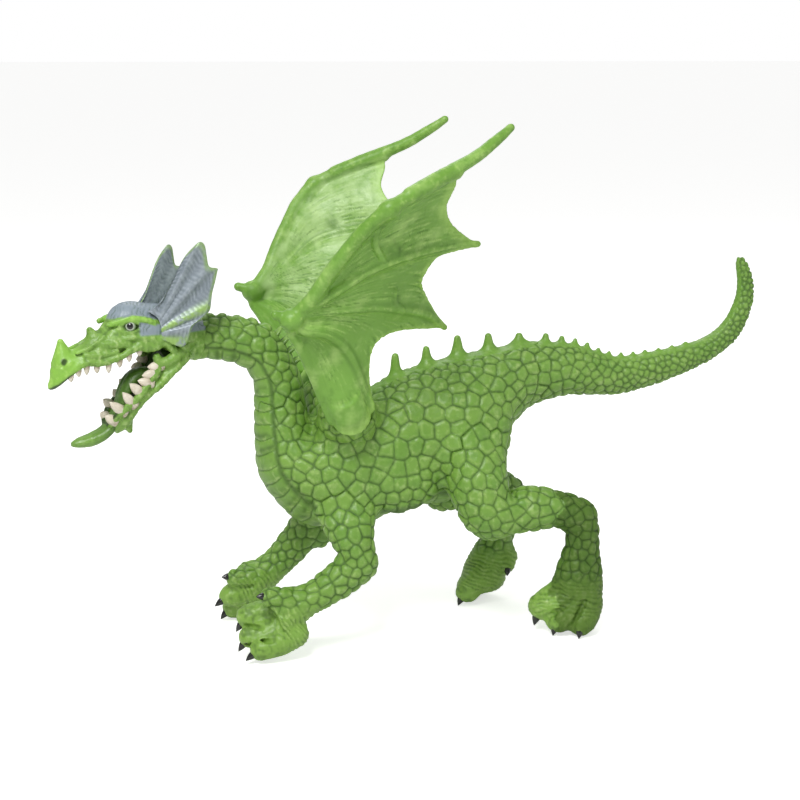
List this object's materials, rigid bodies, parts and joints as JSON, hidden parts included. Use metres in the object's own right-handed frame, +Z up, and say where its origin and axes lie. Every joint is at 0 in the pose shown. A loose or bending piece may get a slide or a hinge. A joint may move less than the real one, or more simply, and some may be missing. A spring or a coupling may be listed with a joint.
{
  "type": "dragon figure",
  "caption": "Standing winged dragon toy with a scaly moulded body, spined back, curled tail, open toothed mouth, fan-shaped ear frills and wings that turn on pegs.",
  "frame": {"origin": "on the ground under the middle of the bounding box", "axes": "+X toward the tail, -X toward the head, +Z up, -Y toward the dragon's left side"},
  "size_m": [0.2184, 0.0954, 0.1538],
  "materials": {
    "green_vinyl": "moulded soft vinyl with a dark green wash in the grooves and a light dry brushing on the high spots",
    "wing_green": "smooth moulded vinyl with streaked hand paint",
    "tongue_green": "smooth painted vinyl",
    "silver_paint": "silver grey paint over vinyl ribs",
    "ivory_teeth": "ivory paint",
    "black_gloss": "glossy black paint"
  },
  "bodies": {
    "figure": {"torso": "green_vinyl", "neck": "green_vinyl", "tail": "green_vinyl", "skull": "green_vinyl", "lower_jaw": "green_vinyl", "tongue": "tongue_green", "upper_teeth": "ivory_teeth", "lower_teeth": "ivory_teeth", "eyes": "black_gloss", "left_frill": "silver_paint", "right_frill": "silver_paint", "left_foreleg": "green_vinyl", "right_foreleg": "green_vinyl", "left_hindleg": "green_vinyl", "right_hindleg": "green_vinyl", "left_fore_claws": "black_gloss", "right_fore_claws": "black_gloss", "left_hind_claws": "black_gloss", "right_hind_claws": "black_gloss"},
    "left_wing": {"left_wing": "wing_green"},
    "right_wing": {"right_wing": "wing_green"}
  },
  "joints": [
    {"name": "left_wing_pivot", "type": "hinge", "parent": "figure", "child": "left_wing", "pos_m": [-0.026, -0.015, 0.073], "axis": [0, -0.9397, 0.342], "range_deg": [-20, 20]},
    {"name": "right_wing_pivot", "type": "hinge", "parent": "figure", "child": "right_wing", "pos_m": [-0.026, 0.015, 0.073], "axis": [0, -0.9397, -0.342], "range_deg": [-20, 20]}
  ]
}
